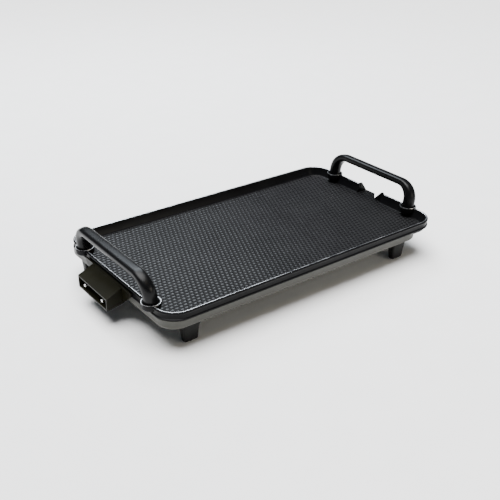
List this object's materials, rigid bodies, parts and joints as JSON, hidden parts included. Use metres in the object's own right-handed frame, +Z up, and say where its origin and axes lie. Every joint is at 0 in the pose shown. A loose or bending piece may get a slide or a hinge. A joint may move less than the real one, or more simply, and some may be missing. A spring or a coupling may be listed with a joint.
{
  "type": "electric griddle",
  "caption": "Table-top electric griddle: bumped non-stick cast plate with grips, pouring spout and plug-in socket, on a pressed grey base with feet.",
  "frame": {"origin": "middle of the whole part's footprint, on the surface that it stands on", "axes": "+X along the plate towards the spout end, +Z up"},
  "size_m": [0.5224, 0.274, 0.0988],
  "materials": {
    "nonstick_plate": "black non-stick coating, satin",
    "handle_plastic": "moulded, semi-gloss",
    "shroud_plastic": "moulded, fine grain",
    "grey_paint": "satin grey",
    "foot_plastic": "moulded",
    "pad_rubber": "matt",
    "zinc_steel": "zinc plated",
    "element_sheath": "heat tinted",
    "nickel": "nickel plated",
    "bush_ceramic": "unglazed",
    "bare_aluminium": "bright",
    "spring_brass": "bright"
  },
  "bodies": {
    "base": {"base_tub": "grey_paint", "heat_reflector": "bare_aluminium", "reflector_spacers": "zinc_steel", "reflector_screws": "zinc_steel", "reflector_nuts": "zinc_steel", "foot_socket_front": "foot_plastic", "foot_socket_back": "foot_plastic", "foot_spout_front": "foot_plastic", "foot_spout_back": "foot_plastic", "foot_screws": "zinc_steel", "foot_pads": "pad_rubber"},
    "plate": {"griddle_plate": "nonstick_plate", "heating_element": "element_sheath", "element_clamps": "zinc_steel", "clamp_screws": "zinc_steel", "terminal_pins": "nickel", "ceramic_bushes": "bush_ceramic", "socket_plate": "zinc_steel", "socket_plate_screws": "zinc_steel", "sensor_block": "bare_aluminium", "earth_contact": "spring_brass", "earth_screw": "zinc_steel", "socket_shroud": "shroud_plastic", "shroud_screws": "zinc_steel", "handle_socket_end": "handle_plastic", "handle_spout_end": "handle_plastic", "handle_inserts": "spring_brass", "handle_screws": "zinc_steel", "handle_washers": "zinc_steel"}
  },
  "joints": [
    {"name": "plate_lift", "type": "slide", "parent": "base", "child": "plate", "axis": [0, 0, 1], "range_m": [0, 0.06]}
  ]
}
